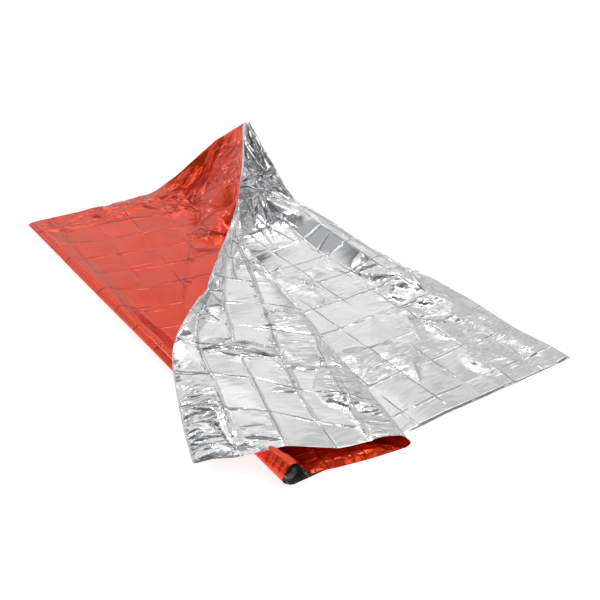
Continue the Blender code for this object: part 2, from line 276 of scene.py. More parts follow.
# How the top layer's body stands up under the turned corner's near edge, between the roll and the
# fold: by how much, where across the film it starts and ends, how wide its lip at the near end
# is, how far it climbs after that, and where it comes down.
NEAR_SWELL = dict(rise=0.022, start=(0.15, 0.23), end=(0.33, 0.43), lip=0.012, climb=0.10,
                  down=(0.16, 0.42))

# How the bottom layer swells behind its ridge: by how much, and where along it.
BACK_SWELL = dict(rise=0.016, start=(0.55, 0.80), end=(1.45, 1.60))


def near_swell(across, along):
    """How far the top layer's body stands up just behind its near end: half the rise at the lip
    and half evenly over the climb, then an S down to nothing."""
    swell = NEAR_SWELL
    climb = 0.5 * soft_step(0, swell["lip"], along) + 0.5 * np.clip(along / swell["climb"], 0, 1)
    near = climb * (1 - soft_step(*swell["down"], along))
    return swell["rise"] * soft_band(swell["start"], swell["end"], across) * near


def back_swell(across, along):
    """How far the first panel from the bottom layer's free edge bows up: half a sine across it."""
    bow = np.sin(math.pi * np.clip((across + LAYER_WIDTH) / CREASE_PITCH, 0, 1))
    return BACK_SWELL["rise"] * bow * soft_band(BACK_SWELL["start"], BACK_SWELL["end"], along)


def outward(points):
    """Unit directions out of the orange side: the step across the film crossed with the step
    along it."""
    cross = np.cross(np.gradient(points, axis=1), np.gradient(points, axis=0))
    return cross / np.linalg.norm(cross, axis=-1, keepdims=True)


# Lengthwise packing creases as they lie, across the film at each section. On the top layer they
# drift with the way it was pulled, and the ones on the turned-back corner draw together towards
# the far end.
TOP_CREASES = (
    dict(name="doubled side", across=everywhere(0.0)),
    dict(name="eighth",
         across=(0.030, 0.030, 0.030, 0.035, 0.060, 0.077, 0.086, 0.089, 0.092, 0.095)),
    dict(name="seventh",
         across=(0.150, 0.160, 0.170, 0.182, 0.205, 0.218, 0.232, 0.240, 0.253, 0.270)),
    dict(name="sixth",
         across=(0.290, 0.300, 0.310, 0.325, 0.340, 0.355, 0.375, 0.388, 0.400, 0.420)),
    dict(name="fifth",
         across=(0.440, 0.440, 0.450, 0.460, 0.480, 0.505, 0.525, 0.545, 0.562, 0.600)),
    dict(name="fourth",
         across=(0.630, 0.645, 0.675, 0.695, 0.705, 0.725, 0.790, 0.840, 0.880, 0.900)),
    dict(name="third",
         across=(0.766, 0.764, 0.784, 0.835, 0.848, 0.890, 0.980, 1.035, 1.080, 1.080)),
    dict(name="second",
         across=(0.896, 0.898, 0.898, 0.935, 1.010, 1.050, 1.080, 1.100, 1.125, 1.130)),
    dict(name="first",
         across=(1.028, 1.025, 1.030, 1.058, 1.090, 1.110, 1.125, 1.135, 1.147, 1.150)),
    dict(name="free edge", across=everywhere(LAYER_WIDTH)),
)
BODY_CROSS_SLOPE = 0.25    # how the body's crosswise creases slant
FLAP_CROSS_SLOPE = -0.36   # and how the turned-back corner's do
CROSS_START = 0.084        # the first crosswise crease from the near end
BODY_CROSS_SHIFT = 0.048   # how much further on the body's start
FOLD_BLEND = 0.06          # how far either side of the fold the one slant passes into the other


def panel_places(across, along):
    """Where each point lies among the panels: lengthwise and crosswise panel counts, each whole on
    a crease and rising evenly between two. The top layer's counts come from its drifting
    creases."""
    s = across[None, :]
    t = along[:, None]
    knots = smooth_through(SECTIONS, table(TOP_CREASES, "across"), along[None, :]).T
    low = knots[:, None, :-1]
    high = knots[:, None, 1:]
    top = np.clip((s[..., None] - low) / (high - low), 0, 1).sum(axis=-1)
    bottom = -(LAYER_WIDTH + s) / CREASE_PITCH - 1 + 0 * t
    lengthwise = np.where(s < 0, bottom, top)
    turned = soft_step(-FOLD_BLEND, FOLD_BLEND, s - fold_places(along))
    body = t + BODY_CROSS_SLOPE * s - BODY_CROSS_SHIFT
    flap = t + FLAP_CROSS_SLOPE * (s - LAYER_WIDTH)
    slanted = body * (1 - turned) + flap * turned
    crosswise = (np.where(s < 0, t, slanted) - CROSS_START) / CROSS_PITCH
    return lengthwise, crosswise


LATTICE = (97, 89)         # squares after which the facets repeat
FOLD_LINES = 211           # folds after which a crumple does
DRAWN = (0.55, 0.90)       # a crumple's scale along the film's two diagonals
PUSH = 0.7                 # how far wider facets push its folds about, in folds
PUSH_PITCH = (0.31, 0.23)  # how many of those facets there are to a fold
COMING_PITCH = 0.4         # and of the ones that make the folds come and go
PANEL_LATTICE = (40, 40)   # more panels than the film has, either way
DOMES = (-0.4, 1.0)        # from the deepest dish to the highest dome
DOME_FULLNESS = 0.8        # under 1 makes its parabola flatter on top


def facets(u, v, seed):
    """Heights from -1 to 1 on a triangular lattice of unit steps, flat within each triangle: each
    corner has a height of its own, and each square of the lattice is cut along either diagonal.
    A whole number added to u or v reads another part of the lattice."""
    random = np.random.default_rng(seed)
    heights = random.uniform(-1, 1, LATTICE)
    other_way = random.random(LATTICE) < 0.5
    i = np.floor(u).astype(int)
    j = np.floor(v).astype(int)
    a = u - i
    b = v - j

    def corner(di, dj):
        return heights[(i + di) % LATTICE[0], (j + dj) % LATTICE[1]]

    near = corner(0, 0)
    right = corner(1, 0)
    up = corner(0, 1)
    far = corner(1, 1)
    one = near + np.where(a > b, a * (right - near) + b * (far - right),
                          b * (up - near) + a * (far - up))
    two = np.where(a + b < 1, near + a * (right - near) + b * (up - near),
                   far + (1 - a) * (up - far) + (1 - b) * (right - far))
    return np.where(other_way[i % LATTICE[0], j % LATTICE[1]], two, one)


def crumple(x, y, size, seed):
    """Crumpled film: the mean of folds that run in four directions, which leaves flat facets
    about one size across. Across each direction the height goes in straight lines from one random
    value to the next. Wider facets push the folds about, and make them come and go along their
    length. The film is first turned half a right angle and drawn out along one diagonal."""
    random = np.random.default_rng(seed)
    x, y = DRAWN[0] * (x + y), DRAWN[1] * (y - x)
    total = 0.0
    for direction in range(4):
        turn = (direction + random.uniform(-0.3, 0.3)) * math.pi / 4
        across = (x * math.cos(turn) + y * math.sin(turn)) / size
        along = (y * math.cos(turn) - x * math.sin(turn)) / size
        pushing = facets(across * PUSH_PITCH[0] + 9, along * PUSH_PITCH[1] + 9, seed + direction)
        across = across + PUSH * pushing
        heights = random.uniform(-1, 1, FOLD_LINES)
        knot = np.floor(across).astype(int)
        part = across - knot
        profile = (heights[knot % FOLD_LINES] * (1 - part)
                   + heights[(knot + 1) % FOLD_LINES] * part)
        coming = 1 + facets(across * COMING_PITCH + 5, along * COMING_PITCH + 5,
                            seed + 50 + direction)
        total = total + profile * coming / 4
    return total


def panels(lengthwise, crosswise, seed):
    """Heights of the panels between the packing creases, from about -1 to 1. Each crossing of
    creases has a height, and a panel is the bilinear surface between its four. Its middle is also
    domed or dished by a flattened parabola each way. Returns the two heights apart."""
    random = np.random.default_rng(seed)
    i = np.floor(lengthwise).astype(int)
    j = np.floor(crosswise).astype(int)
    u = lengthwise - i
    v = crosswise - j
    crossing = random.uniform(-1, 1, PANEL_LATTICE)
    dome = random.uniform(*DOMES, PANEL_LATTICE)

    def place(di, dj):
        return (i + di) % PANEL_LATTICE[0], (j + dj) % PANEL_LATTICE[1]

    tilted = (crossing[place(0, 0)] * (1 - u) * (1 - v) + crossing[place(1, 0)] * u * (1 - v)
              + crossing[place(0, 1)] * (1 - u) * v + crossing[place(1, 1)] * u * v)
    across_it = (4 * u * (1 - u)) ** DOME_FULLNESS
    along_it = (4 * v * (1 - v)) ** DOME_FULLNESS
    return tilted, dome[place(0, 0)] * across_it * along_it


# Where the film is crumpled: middle and reach of each zone, across and along, and how strongly,
# in wide facets and in fine ones.
ZONES = (
    dict(name="turned corner", middle=(1.10, 0.17), reach=(0.07, 0.20), wide=0.8, fine=0.8),
    dict(name="turned near edge", middle=(0.975, 0.02), reach=(0.07, 0.06), wide=0.8, fine=0.8),
    dict(name="fold's near end", middle=(0.585, 0.10), reach=(0.06, 0.12), wide=0.55, fine=0.9),
    dict(name="fold's middle", middle=(0.650, 0.30), reach=(0.045, 0.16), wide=0.55, fine=0.9),
    dict(name="knot", middle=(0.785, 0.70), reach=(0.04, 0.06), wide=0.6, fine=0.9),
    dict(name="third crease", middle=(0.745, 0.60), reach=(0.05, 0.16), wide=0.5, fine=0.5),
    dict(name="pinch", middle=(0.88, 0.48), reach=(0.08, 0.05), wide=0.6, fine=0.5),
    dict(name="slack by free edge", middle=(1.09, 0.86), reach=(0.08, 0.26), wide=1.0, fine=0.25),
    dict(name="upper fold", middle=(0.80, 1.25), reach=(0.09, 0.26), wide=1.2, fine=0.3),
    dict(name="ridge", middle=(-0.98, 0.74), reach=(0.10, 0.20), wide=0.8, fine=0.15),
    dict(name="streaks", middle=(-0.87, 1.55), reach=(0.10, 0.26), wide=0.35, fine=0.10),
    dict(name="peak inside", middle=(-1.08, 1.85), reach=(0.10, 0.26), wide=0.2, fine=0.08),
    dict(name="near bow", middle=(-0.60, 0.34), reach=(0.16, 0.10), wide=0.6, fine=0.3),
    dict(name="ridge's near end", middle=(-0.95, 0.50), reach=(0.12, 0.12), wide=1.2, fine=0.3),
    dict(name="middle of bottom", middle=(-0.72, 0.90), reach=(0.09, 0.17), wide=0.5, fine=0.3),
    dict(name="far edge", middle=(0.35, 2.03), reach=(0.45, 0.075), wide=0.8, fine=0.9),
    dict(name="band", middle=(0.98, 1.80), reach=(0.12, 0.20), wide=0.2, fine=1.3),
    dict(name="pocket", middle=(0.66, 1.87), reach=(0.10, 0.12), wide=0.7, fine=0.8),
    dict(name="band's slope", middle=(0.64, 1.60), reach=(0.08, 0.20), wide=0.5, fine=0.3),
    dict(name="lower right", middle=(-1.00, 0.22), reach=(0.14, 0.24), wide=0.55, fine=0.4),
    dict(name="near strip", middle=(0.28, 0.01), reach=(0.28, 0.05), wide=0.4, fine=0.9),
    dict(name="roll", middle=(0.04, 0.10), reach=(0.08, 0.20), wide=0.5, fine=0.3),
)
SLACK = 0.08               # how crumpled the film is everywhere else
RAGGED = 0.7               # how far facets move a zone's outline, in square reaches
RAGGED_SIZE = (0.06, 0.07)
FALL = 0.7                 # how steeply a zone ends
QUADS_SMOOTH = 0.85        # how much less crumpled the ridge's smooth panels are
QUADS_ACROSS = dict(start=(0.90, 0.93), end=(1.03, 1.05))   # the ridge's two smooth panels, from
QUADS_ALONG = dict(start=(0.90, 0.96), end=(1.46, 1.52))    # the doubled side and the near end


# Folds listed one by one, by kind. front is the slope of the side that faces the near left corner
# of the room, back the slope of the other side, and even how evenly the folds keep their height
# from end to end. Each fold has its name, its rise, and the places on the film that it runs
# through, (across, along).
FOLD_KINDS = (
    dict(kind="pinch", front=0.48, back=0.20, even=4, folds=(
        ("turned corner, crosswise", 0.003, (1.165, 0.425), (1.1, 0.398), (1.02, 0.369)),
        ("pinch, long", 0.0105, (0.945, 0.512), (0.88, 0.5), (0.836, 0.469), (0.758, 0.447)),
        ("pinch, short", 0.007, (0.965, 0.485), (0.9, 0.452), (0.855, 0.44)),
        ("pinch, low", 0.006, (0.8, 0.405), (0.72, 0.392)),
        ("turned edge, crosswise", 0.0025, (1.01, 0.112), (0.918, 0.095)),
        ("tongue", 0.002, (0.83, 0.9), (0.86, 0.95)),
        ("wedge's crest", 0.012, (1.055, 0.56), (1.02, 0.82), (0.985, 1.14)),
        ("cross fold", 0.009, (1.045, 0.5), (0.98, 0.515), (0.905, 0.56)),
        ("third crease, near", 0.004, (0.803, 0.476), (0.775, 0.37), (0.748, 0.266)),
        ("nick one", 0.0055, (0.86, 0.255), (0.74, 0.262)),
        ("nick two", 0.0045, (0.68, 0.398), (0.75, 0.385)),
        ("nick three", 0.005, (0.64, 0.165), (0.7, 0.215)),
        ("corner, one", 0.006, (1.15, 0.235), (1.09, 0.215), (1.045, 0.185)),
        ("corner, two", 0.0045, (1.13, 0.285), (1.07, 0.27)),
        ("corner, three", 0.0045, (1.12, 0.095), (1.05, 0.085)),
        ("corner, four", 0.0045, (1.07, 0.165), (1.035, 0.02)),
        ("ridge, zigzag one", 0.008, (-1.035, 0.99), (-0.925, 0.865)),
        ("ridge, zigzag two", 0.008, (-1.02, 0.79), (-0.93, 0.67)),
        ("right, dark nick", 0.006, (-1.04, 0.61), (-1.095, 0.75)),
        ("long nick", 0.008, (-0.805, 0.35), (-0.87, 0.51)),
        ("near nick", 0.0055, (-0.965, 0.39), (-0.88, 0.46)),
        ("low nick", 0.0055, (-0.63, 0.17), (-0.705, 0.275)),
        ("mark one", 0.0035, (-0.86, 1.005), (-0.905, 0.915)),
        ("mark two", 0.004, (-0.69, 1.015), (-0.742, 0.866)),
        ("mark three", 0.003, (-0.725, 0.79), (-0.772, 0.755)),
        ("mark four", 0.0035, (-0.64, 0.752), (-0.71, 0.808)),
        ("near bow", 0.0035, (-0.48, 0.28), (-0.55, 0.325), (-0.64, 0.332)),
        ("streak one", 0.0045, (-0.97, 1.72), (-0.87, 1.4)),
        ("streak two", 0.004, (-0.94, 1.75), (-0.785, 1.43)),
        ("streak three", 0.0035, (-0.905, 1.62), (-0.82, 1.33)),
        ("streak four", 0.0035, (-0.865, 1.68), (-0.8, 1.4)),
        ("streak five", 0.003, (-0.84, 1.63), (-0.79, 1.28)),
        ("far edge, crosswise", 0.007, (0.0, 1.978), (0.124, 1.966), (0.27, 1.925)),
        ("far edge, second", 0.006, (0.285, 1.912), (0.5, 1.848)),
        ("body, crosswise one", 0.003, (0.18, 1.458), (0.38, 1.425)),
        ("body, crosswise two", 0.003, (0.085, 1.285), (0.22, 1.226)),
        ("body, crosswise three", 0.003, (0.088, 1.093), (0.232, 1.045)),
        ("band, one", 0.006, (0.722, 1.78), (0.758, 1.627)),
        ("band, two", 0.0045, (0.635, 1.6), (0.642, 1.47)),
        ("band, three", 0.0045, (0.585, 1.6), (0.607, 1.43)),
        ("strip, one", 0.009, (0.2, -0.03), (0.215, 0.13)),
        ("strip, two", 0.006, (0.3, -0.03), (0.27, 0.12)),
        ("strip, three", 0.007, (0.46, -0.01), (0.37, 0.065)),
        ("corner's shade", 0.013, (0.985, 0.735), (1.075, 0.7)),
        ("corner's shade, second", 0.009, (1.06, 0.98), (1.125, 0.93)),
    )),
    dict(kind="long", front=0.80, back=0.35, even=16, folds=(
        ("first, turned corner", 0.0045, (1.052, 0.698), (1.03, 0.505), (1.022, 0.386),
         (1.025, 0.216), (1.027, 0.05)),
        ("second welt", 0.0042, (1.047, 1.192), (0.956, 0.916), (0.934, 0.766), (0.915, 0.65),
         (0.9, 0.52)),
        ("second, near", 0.003, (0.898, 0.48), (0.9, 0.26), (0.897, 0.04)),
        ("third welt", 0.0042, (0.977, 1.356), (0.87, 1.27), (0.835, 1.057), (0.837, 0.938),
         (0.843, 0.851), (0.835, 0.79)),
        ("third, near", 0.004, (0.835, 0.79), (0.803, 0.61), (0.776, 0.45), (0.765, 0.25),
         (0.769, 0.1)),
        ("fourth", 0.005, (0.706, 0.64), (0.68, 0.44), (0.655, 0.22), (0.645, 0.0)),
        ("gathered, one", 0.004, (0.99, 1.45), (0.93, 1.2), (0.9, 0.98)),
        ("gathered, two", 0.0035, (0.9, 1.43), (0.86, 1.25), (0.79, 1.02)),
        ("ridge's foot", 0.0022, (-0.925, 1.48), (-0.905, 1.16), (-0.93, 0.9)),
        ("ridge's divider", 0.003, (-1.02, 1.19), (-0.905, 1.14)),
        ("back strip", 0.002, (-1.1, 1.33), (-1.09, 0.9), (-1.085, 0.62)),
        ("fan, one", 0.0035, (-0.76, 1.78), (-0.9, 1.7), (-1.01, 1.48)),
        ("fan, two", 0.003, (-0.76, 1.75), (-0.88, 1.56), (-0.95, 1.33)),
        ("fan, three", 0.003, (-0.76, 1.72), (-0.84, 1.5), (-0.88, 1.25)),
    )),
    dict(kind="wedge", front=0.50, back=0.42, even=9, folds=(
        ("left panel", 0.008, (-1.089, 1.833), (-1.092, 1.92), (-1.097, 2.03)),
        ("left of the lens", 0.0075, (-1.1, 1.84), (-1.122, 1.88), (-1.133, 1.945), (-1.15, 2.05)),
        ("right of the lens", 0.006, (-1.168, 1.84), (-1.16, 1.9), (-1.147, 1.97)),
        ("crosswise", 0.016, (-1.06, 1.842), (-1.11, 1.832), (-1.17, 1.822)),
        ("crosswise, left", 0.007, (-0.97, 1.872), (-1.03, 1.85), (-1.09, 1.836)),
        ("upper left", 0.006, (-1.035, 1.965), (-1.075, 1.86)),
        ("wedge, one", 0.0085, (-1.083, 1.825), (-1.102, 1.692), (-1.112, 1.6)),
        ("wedge, two", 0.0075, (-1.055, 1.825), (-1.045, 1.722), (-1.07, 1.63)),
        ("wedge, three", 0.0065, (-1.11, 1.815), (-1.138, 1.71), (-1.135, 1.6)),
        ("wedge, four", 0.006, (-1.02, 1.82), (-1.01, 1.7)),
        ("lower edge", 0.0075, (-0.94, 1.86), (-0.985, 1.68), (-1.054, 1.466)),
        ("upper stripe, one", 0.005, (-1.11, 1.9), (-1.145, 2.08)),
        ("upper stripe, two", 0.0045, (-1.06, 1.93), (-1.12, 2.09)),
    )),
    dict(kind="wide", front=0.30, back=0.35, even=9, folds=(
        ("band's edge, upper", 0.013, (1.002, 2.14), (0.858, 1.942), (0.753, 1.831),
         (0.705, 1.763)),
        ("band's edge, lower", 0.006, (0.718, 1.752), (0.569, 1.552), (0.445, 1.363),
         (0.361, 1.205), (0.28, 1.05)),
        ("bright patch", 0.015, (0.27, 2.0), (0.36, 2.055), (0.48, 2.075)),
        ("pocket, one", 0.007, (0.6, 2.02), (0.7, 1.9), (0.74, 1.8)),
        ("pocket, two", 0.006, (0.56, 1.96), (0.64, 1.85), (0.7, 1.74)),
        ("pocket, three", 0.005, (0.6, 1.83), (0.68, 1.93)),
        ("pocket, four", 0.005, (0.5, 1.98), (0.56, 1.9), (0.64, 1.9)),
        ("far corner", 0.005, (0.11, 2.06), (0.125, 1.93), (0.11, 1.86)),
        ("band, cross one", 0.006, (0.602, 1.56), (0.64, 1.48), (0.69, 1.43)),
        ("band, cross two", 0.006, (0.5, 1.43), (0.56, 1.37), (0.6, 1.33)),
    )),
    dict(kind="bright", front=0.20, back=0.50, even=7, folds=(
        ("corner's facet, one", 0.012, (0.945, 0.8), (1.04, 0.765)),
        ("corner's facet, two", 0.014, (0.95, 0.905), (1.06, 0.87)),
        ("corner's facet, three", 0.013, (0.96, 1.01), (1.075, 0.985)),
    )),
    dict(kind="turned", front=0.60, back=0.60, even=12, folds=(
        ("far corner's edge", 0.018, (-1.17, 1.825), (-1.173, 1.7), (-1.17, 1.58)),
    )),
    dict(kind="sheen", front=0.12, back=0.22, even=9, folds=(
        ("bright patch, foot", 0.005, (0.29, 1.95), (0.4, 1.935)),
        ("strip's sheen, one", 0.005, (0.262, -0.02), (0.25, 0.09)),
        ("strip's sheen, two", 0.0045, (0.395, -0.02), (0.385, 0.06)),
        ("strip's sheen, three", 0.004, (0.1, 0.0), (0.12, 0.11)),
    )),
    dict(kind="sliver", front=0.50, back=0.30, even=9, folds=(
        ("bright patch, second", 0.006, (0.46, 2.01), (0.53, 1.99), (0.6, 2.02)),
        ("bright sliver", 0.015, (0.715, 1.89), (0.75, 1.87)),
        ("bright sliver, second", 0.012, (0.7, 1.835), (0.745, 1.815)),
    )),
)
WAVER = 0.004              # how far a crease's line strays from its path
WAVER_SIZE = 0.05          # and over what length
SHARP_SHARE = 0.6          # how much of a crease's height is in the finish, which is sharper
BEYOND = 0.008             # how far below its foot a crease is still worked out
NO_CREASE = -0.08          # the height that stands for no crease

# Which way on the film the near left corner of the room lies, as it runs on each part.
FRONT_ON_BOTTOM = (0.56, -0.83)
FRONT_ON_BODY = (-0.56, -0.83)
FRONT_ON_CORNER = (0.30, -0.92)


def ridge_quads(s, t):
    """1 on the two smooth panels in the middle of the bottom layer's ridge, 0 away from them."""
    return (soft_band(QUADS_ACROSS["start"], QUADS_ACROSS["end"], -s)
            * soft_band(QUADS_ALONG["start"], QUADS_ALONG["end"], t))


def crumpling(s, t, key):
    """How crumpled the film is at each place: the slack everywhere, and over each zone a hill with
    a flat top, exp(-FALL r^4) at r reaches from its middle, whose outline facets make ragged."""
    total = SLACK + 0 * s
    ragged = RAGGED * facets(s / RAGGED_SIZE[0] + 30, t / RAGGED_SIZE[1], 91)
    for zone in ZONES:
        from_middle = ((s - zone["middle"][0]) / zone["reach"][0]) ** 2
        from_middle += ((t - zone["middle"][1]) / zone["reach"][1]) ** 2
        hill = np.exp(-FALL * np.maximum(from_middle + ragged, 0) ** 2)
        total = np.maximum(total, zone[key] * hill)
    return total * (1 - QUADS_SMOOTH * ridge_quads(s, t))


def stretches():
    """Each straight stretch of each listed fold: its kind, its rise, where it starts, the step
    to its end, and the shares of the fold's length that lie before its start and its end."""
    for kind in FOLD_KINDS:
        for name, rise, *path in kind["folds"]:
            steps = np.diff(path, axis=0)
            passed = np.concatenate([[0], np.cumsum(np.hypot(*steps.T))])
            passed /= passed[-1]
            for start, step, low, high in zip(path, steps, passed, passed[1:]):
                yield kind, rise, start, step, low, high


def hand_laid(s, t, fold):
    """The listed creases. Each is a roof along its path. Its ridge stands up by the rise,
    and runs out at both ends as the parabola even * u * (1 - u) does where that is under 1, u
    being the share of the path behind. It falls away evenly on both sides. Returns the two planes
    of the roof that stands highest at each place, the front one and the back one: the film is at
    the lower of the two."""
    waver_s = s + WAVER * facets(s / WAVER_SIZE + 40, t / WAVER_SIZE, 71)
    waver_t = t + WAVER * facets(s / WAVER_SIZE + 40, t / WAVER_SIZE, 72)
    on_bottom, on_body, on_corner = (np.array(way)[:, None, None] for way in
                                     (FRONT_ON_BOTTOM, FRONT_ON_BODY, FRONT_ON_CORNER))
    ahead = np.where(s < 0, on_bottom, np.where(s < fold, on_body, on_corner))
    front = np.full_like(s, NO_CREASE)
    back = np.full_like(s, NO_CREASE)
    height = np.full_like(s, -BEYOND)
    for kind, rise, start, step, low, high in stretches():
        forward = (waver_s - start[0]) * step[0] + (waver_t - start[1]) * step[1]
        share = np.clip(forward / np.hypot(*step) ** 2, 0, 1)
        off_s = waver_s - start[0] - share * step[0]
        off_t = waver_t - start[1] - share * step[1]
        distance = np.hypot(off_s, off_t) * np.sign(off_s * ahead[0] + off_t * ahead[1])
        place = low + share * (high - low)
        top = rise * np.minimum(1, kind["even"] * place * (1 - place))
        before_it = top - distance * kind["front"]
        behind_it = top + distance * kind["back"]
        roof = np.minimum(before_it, behind_it)
        highest = roof > height
        front = np.where(highest, before_it, front)
        back = np.where(highest, behind_it, back)
        height = np.where(highest, roof, height)
    return front, back


PINCH_WIDTH = 0.008        # how far a packing crease's ridge or trough reaches to either side
PINCH_PITCH = 1.9          # facets to a panel along a crease
PINCH_APART = 7.3          # facets from one crease to the next, so that each has its own


def pinches(lengthwise, crosswise, seed):
    """Heights from -1 to 1 along the packing creases: on each crease a ridge here and a trough
    there, which come and go along it and fall away evenly to either side."""
    off_lengthwise = np.abs(lengthwise - np.round(lengthwise)) * CREASE_PITCH / PINCH_WIDTH
    off_crosswise = np.abs(crosswise - np.round(crosswise)) * CROSS_PITCH / PINCH_WIDTH
    one = facets(np.round(lengthwise) * PINCH_APART + 20, crosswise * PINCH_PITCH + 20, seed)
    other = facets(lengthwise * PINCH_PITCH + 20, np.round(crosswise) * PINCH_APART + 20, seed + 1)
    return (one * np.clip(1 - off_lengthwise, 0, 1)
            + other * np.clip(1 - off_crosswise, 0, 1))


# How far the film stands off its main shape.
PANEL_TILT = 0.0058        # at a crossing of packing creases
PANEL_DOME = 0.0030        # in the middle of a panel
PINCH_RISE = 0.0018        # along a packing crease
QUADS_CALM = 0.8           # how much less of these the ridge's smooth panels have
WIDE_CRUMPLE = dict(size=0.120, rise=0.022, seed=21)
SMALL_CRUMPLE = dict(size=0.058, rise=0.020, seed=31)
CRUMPLE_LIFT = 0.008       # how far a crumpled zone stands up as a whole
DEEPEST = -0.002           # no hollow goes further in
BOTTOM_LIFT = 0.0045       # the bottom layer's, off the floor, inside its edges
BOTTOM_RIM = 0.006         # how far from its edges it reaches that
COVERED = (0.40, 0.55)     # the bottom layer's rises stop this far from the doubled side,
CLEAR_OF_TURN = (0.02, 0.08)    # the top layer's this far from it,
CLEAR_OF_FOLD = (0.00, 0.05)    # and this far from where it folds back


def film():
    """The film's two faces on one grid. Returns the orange face's points, the silver face's, and
    the numbers that the finish reads: distances across and along, panel counts, the listed
    creases' planes and how crumpled it is."""
    across = film_columns()
    along = film_rows()
    s = across[None, :] + 0 * along[:, None]
    t = along[:, None] + 0 * across[None, :]
    points = main_shape(across, along)
    points[..., 2] += near_swell(s, t)
    points[..., 2] += back_swell(s, t)
    lengthwise, crosswise = panel_places(across, along)
    fold = fold_places(along)
    # Up is out of the orange side on the top layer's body, and into it on the flap and the bottom
    # layer.
    up = np.where((s > 0) & (s < fold), 1.0, -1.0)
    clear = soft_step(*CLEAR_OF_FOLD, np.abs(s - fold)) * soft_step(*CLEAR_OF_TURN, np.abs(s))
    shown = np.where(s < 0, soft_step(*COVERED, -s), clear)

    tilted, domed = panels(lengthwise, crosswise, seed=4)
    rise = (PANEL_TILT * tilted + PANEL_DOME * domed
            + PINCH_RISE * pinches(lengthwise, crosswise, seed=7))
    rise *= 1 - QUADS_CALM * ridge_quads(s, t)
    wide = crumpling(s, t, "wide")
    folds = CRUMPLE_LIFT
    for kind in (WIDE_CRUMPLE, SMALL_CRUMPLE):
        folds = folds + kind["rise"] * crumple(s, t, kind["size"], kind["seed"])
    rise = np.maximum(rise + wide * folds, DEEPEST)
    front, back = hand_laid(s, t, fold)
    rise += (1 - SHARP_SHARE) * np.maximum(np.minimum(front, back), 0)

    rim = np.minimum.reduce([s + LAYER_WIDTH, LAYER_WIDTH - s, t, LENGTH - t])
    off_floor = np.where(s < 0, BOTTOM_LIFT * soft_step(0.0, BOTTOM_RIM, rim), 0.0)
    outer = points + outward(points) * (up * shown * (rise + off_floor))[..., None]
    outer[..., 2] = np.maximum(outer[..., 2], 0.0)
    inner = outer - outward(outer) * (SKIN_GAP * soft_step(0.0, SKINS_MEET, rim))[..., None]
    return outer, inner, dict(s=s, t=t, lengthwise=lengthwise, crosswise=crosswise, front=front,
                              back=back, wide=wide, fine=crumpling(s, t, "fine"))


def put(name, data):
    """An object of the data, in the scene."""
    placed = bpy.data.objects.new(name, data)
    bpy.context.scene.collection.objects.link(placed)
    return placed


def uv_map(mesh, name, u, v):
    """A UV map that gives each corner of a face its vertex's two numbers."""
    corners = np.empty(len(mesh.loops), np.int32)
    mesh.loops.foreach_get("vertex_index", corners)
    pairs = np.stack([u.ravel(), v.ravel()], axis=-1)[corners]
    mesh.uv_layers.new(name=name).data.foreach_set("uv", pairs.astype(np.float32).ravel())


def skin(name, points, numbers, material, faces_out):
    """One face of the film as a smooth mesh with a quad between each four neighbouring points of
    the grid, turned out of the orange side or the silver side."""
    rows, columns = points.shape[:2]
    corner = np.arange(rows * columns).reshape(rows, columns)
    around = [corner[:-1, :-1], corner[:-1, 1:], corner[1:, 1:], corner[1:, :-1]]
    quads = np.stack(around, axis=-1).reshape(-1, 4)
    if not faces_out:
        quads = quads[:, ::-1]
    mesh = bpy.data.meshes.new(name)
    mesh.from_pydata((points - FOOTPRINT_MIDDLE).reshape(-1, 3), [], quads)
    mesh.polygons.foreach_set("use_smooth", np.ones(len(mesh.polygons), bool))
    uv_map(mesh, "OFBake", (numbers["s"] + LAYER_WIDTH) / (2 * LAYER_WIDTH), numbers["t"] / LENGTH)
    uv_map(mesh, "panels", numbers["lengthwise"], numbers["crosswise"])
    uv_map(mesh, "crumpling", numbers["wide"], numbers["fine"])
    uv_map(mesh, "creases", numbers["front"], numbers["back"])
    mesh.materials.append(material)
    mesh.update()
    piece = put(name, mesh)
    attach(piece, "root")
    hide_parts("foil_sheet")
    return piece


class Nodes:
    """Shorthand for laying out a material's nodes."""

    def __init__(self, tree):
        self.tree = tree

    def add(self, kind, inputs=None, **settings):
        """A node of a kind, with its settings, and its inputs linked or filled in."""
        node = self.tree.nodes.new(kind)
        for key, value in settings.items():
            setattr(node, key, value)
        for key, value in (inputs or {}).items():
            self.give(node.inputs[key], value)
        return node

    def give(self, socket, value):
        """Links an output to a socket, or sets the socket to a plain value."""
        if isinstance(value, bpy.types.NodeSocket):
            self.tree.links.new(value, socket)
        elif value is not None:
            socket.default_value = value

    def math(self, operation, a, b=None, c=None):
        """The result of one sum."""
        return self.add("ShaderNodeMath", {0: a, 1: b, 2: c}, operation=operation).outputs[0]

    def plus(self, first, *others):
        """All of them added up."""
        for other in others:
            first = self.math("ADD", first, other)
        return first

    def times(self, first, *others):
        """All of them multiplied."""
        for other in others:
            first = self.math("MULTIPLY", first, other)
        return first

    def ramp(self, value, low, high, to_low=0.0, to_high=1.0):
        """to_low where the value is below low, to_high above high, and a smooth S between."""
        node = self.add("ShaderNodeMapRange", {0: value, 1: low, 2: high, 3: to_low, 4: to_high},
                        interpolation_type="SMOOTHSTEP")
        return node.outputs[0]

    def noise(self, place, scale, detail, **inputs):
        """A soft noise from 0 to 1."""
        inputs = {"Vector": place, "Scale": scale, "Detail": detail, **inputs}
        return self.add("ShaderNodeTexNoise", inputs).outputs["Fac"]

    def mix(self, share, one, other):
        """One colour, and the other as the share nears 1."""
        return self.add("ShaderNodeMix", {"Factor": share, "A": one, "B": other},
                        data_type="RGBA").outputs["Result"]

    def carried(self, uv_map):
        """The two numbers that a mesh carries in one of its UV maps."""
        pair = self.add("ShaderNodeUVMap", uv_map=uv_map).outputs[0]
        return self.add("ShaderNodeSeparateXYZ", {0: pair}).outputs


